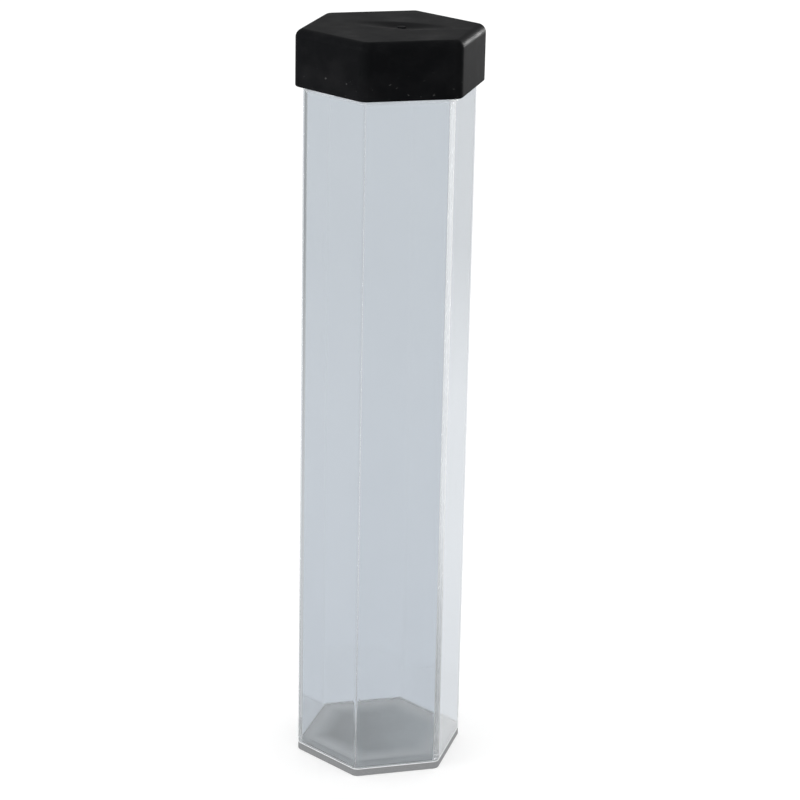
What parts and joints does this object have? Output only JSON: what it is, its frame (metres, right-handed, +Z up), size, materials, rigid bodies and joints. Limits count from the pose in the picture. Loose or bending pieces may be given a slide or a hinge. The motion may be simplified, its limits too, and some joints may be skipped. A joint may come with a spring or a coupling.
{
  "type": "rock tumbler barrel",
  "caption": "Tall clear hexagonal tumbling barrel with a cemented end plug, a grey rubber base pad and a black push-on rubber cap with a sealing disc.",
  "frame": {"origin": "centre of the base pad's underside, which the barrel stands on", "axes": "+Z up along the tube to the cap; +X through a corner of the hexagon; the flats face +Y and -Y"},
  "size_m": [0.0944, 0.0834, 0.381],
  "materials": {
    "clear_tube": "clear extruded plastic, polished, fine draw lines and scratches",
    "clear_plug": "clear cast sheet, polished faces, sawn edge",
    "grey_pad": "matt grey rubber sheet",
    "black_rubber": "satin moulded black rubber",
    "seal_rubber": "matt black sheet rubber"
  },
  "bodies": {
    "barrel": {"barrel_tube": "clear_tube", "end_plug": "clear_plug", "base_pad": "grey_pad"},
    "cap": {"end_cap": "black_rubber", "cap_seal": "seal_rubber"}
  },
  "joints": [
    {"name": "cap_pull", "type": "slide", "parent": "barrel", "child": "cap", "axis": [0, 0, 1], "range_m": [0, 0.06]}
  ]
}
